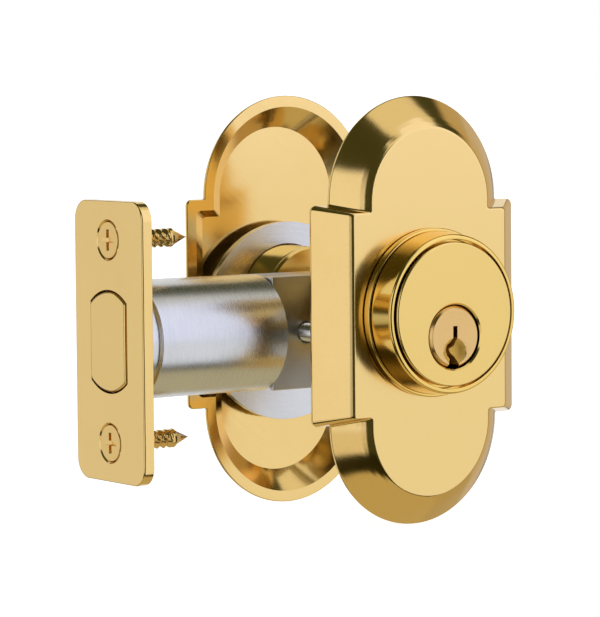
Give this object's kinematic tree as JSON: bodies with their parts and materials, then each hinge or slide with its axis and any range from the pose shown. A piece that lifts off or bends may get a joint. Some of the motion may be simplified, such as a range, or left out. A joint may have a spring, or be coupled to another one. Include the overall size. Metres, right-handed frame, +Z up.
{
  "type": "double-cylinder deadbolt lock",
  "caption": "Brass double-cylinder deadbolt with bevelled, arched trim plates, keyed plugs, guard collars and a sliding bolt, as mounted on a door.",
  "frame": {"origin": "where the plug axis meets the bolt axis, midway through the door", "axes": "+Z up, -Y out of the front of the door, -X out of the edge of the door, the way that the bolt is thrown"},
  "size_m": [0.0869, 0.073, 0.0889],
  "materials": {
    "polished_brass": "polished and lacquered",
    "satin_brass": "fine satin, lacquered",
    "plug_brass": "satin, slightly pinkish",
    "raw_brass": "as turned",
    "zinc_steel": "zinc plated",
    "hard_steel": "hardened, ground",
    "spring_steel": "drawn wire"
  },
  "bodies": {
    "lock_body": {"front_escutcheon": "polished_brass", "front_base_ring": "polished_brass", "front_cylinder_body": "satin_brass", "front_mounting_plate": "zinc_steel", "front_set_screw": "hard_steel", "front_driver_pin_1": "raw_brass", "front_pin_spring_1": "spring_steel", "front_driver_pin_2": "raw_brass", "front_pin_spring_2": "spring_steel", "front_driver_pin_3": "raw_brass", "front_pin_spring_3": "spring_steel", "front_driver_pin_4": "raw_brass", "front_pin_spring_4": "spring_steel", "front_driver_pin_5": "raw_brass", "front_pin_spring_5": "spring_steel", "rear_escutcheon": "polished_brass", "rear_base_ring": "polished_brass", "rear_cylinder_body": "satin_brass", "rear_mounting_plate": "zinc_steel", "rear_set_screw": "hard_steel", "rear_driver_pin_1": "raw_brass", "rear_pin_spring_1": "spring_steel", "rear_driver_pin_2": "raw_brass", "rear_pin_spring_2": "spring_steel", "rear_driver_pin_3": "raw_brass", "rear_pin_spring_3": "spring_steel", "rear_driver_pin_4": "raw_brass", "rear_pin_spring_4": "spring_steel", "rear_driver_pin_5": "raw_brass", "rear_pin_spring_5": "spring_steel", "through_screw_left": "zinc_steel", "through_screw_right": "zinc_steel", "latch_barrel": "zinc_steel", "latch_case_front": "zinc_steel", "latch_case_rear": "zinc_steel", "latch_faceplate": "polished_brass", "latch_screw_upper": "polished_brass", "latch_screw_lower": "polished_brass"},
    "front_plug": {"front_plug": "plug_brass", "front_plug_cap": "raw_brass", "front_key_pin_1": "raw_brass", "front_key_pin_2": "raw_brass", "front_key_pin_3": "raw_brass", "front_key_pin_4": "raw_brass", "front_key_pin_5": "raw_brass"},
    "rear_plug": {"rear_plug": "plug_brass", "rear_plug_cap": "raw_brass", "rear_key_pin_1": "raw_brass", "rear_key_pin_2": "raw_brass", "rear_key_pin_3": "raw_brass", "rear_key_pin_4": "raw_brass", "rear_key_pin_5": "raw_brass"},
    "drive": {"hub": "zinc_steel", "front_tailpiece": "zinc_steel", "rear_tailpiece": "zinc_steel"},
    "bolt": {"bolt": "polished_brass", "bolt_bar": "zinc_steel"},
    "anti_saw_roller": {"anti_saw_roller": "hard_steel"},
    "front_guard_collar": {"front_guard_collar": "polished_brass"},
    "rear_guard_collar": {"rear_guard_collar": "polished_brass"}
  },
  "joints": [
    {"name": "front_plug_turn", "type": "hinge", "parent": "lock_body", "child": "front_plug", "pos_m": [0, -0.03, 0], "axis": [0, 1, 0], "range_deg": [0, 105.83]},
    {"name": "hub_turn", "type": "hinge", "parent": "lock_body", "child": "drive", "pos_m": [0, 0, 0], "axis": [0, 1, 0], "range_deg": [0, 105.83]},
    {"name": "bolt_throw", "type": "slide", "parent": "lock_body", "child": "bolt", "axis": [-1, 0, 0], "range_m": [0, 0.0254]},
    {"name": "rear_plug_turn", "type": "hinge", "parent": "lock_body", "child": "rear_plug", "pos_m": [0, 0.03, 0], "axis": [0, -1, 0], "range_deg": [0, 166]},
    {"name": "roller_spin", "type": "hinge", "parent": "bolt", "child": "anti_saw_roller", "pos_m": [-0.047, -0.00275, 0], "axis": [1, 0, 0], "continuous": true},
    {"name": "front_collar_spin", "type": "hinge", "parent": "lock_body", "child": "front_guard_collar", "pos_m": [0, -0.033, 0.0046], "axis": [0, -1, 0], "continuous": true},
    {"name": "rear_collar_spin", "type": "hinge", "parent": "lock_body", "child": "rear_guard_collar", "pos_m": [0, 0.033, 0.0046], "axis": [0, 1, 0], "continuous": true}
  ],
  "couplings": [
    {"joint": "front_plug_turn", "follows": "bolt_throw", "rad_per_m": 72.718},
    {"joint": "hub_turn", "follows": "bolt_throw", "rad_per_m": 72.718}
  ]
}
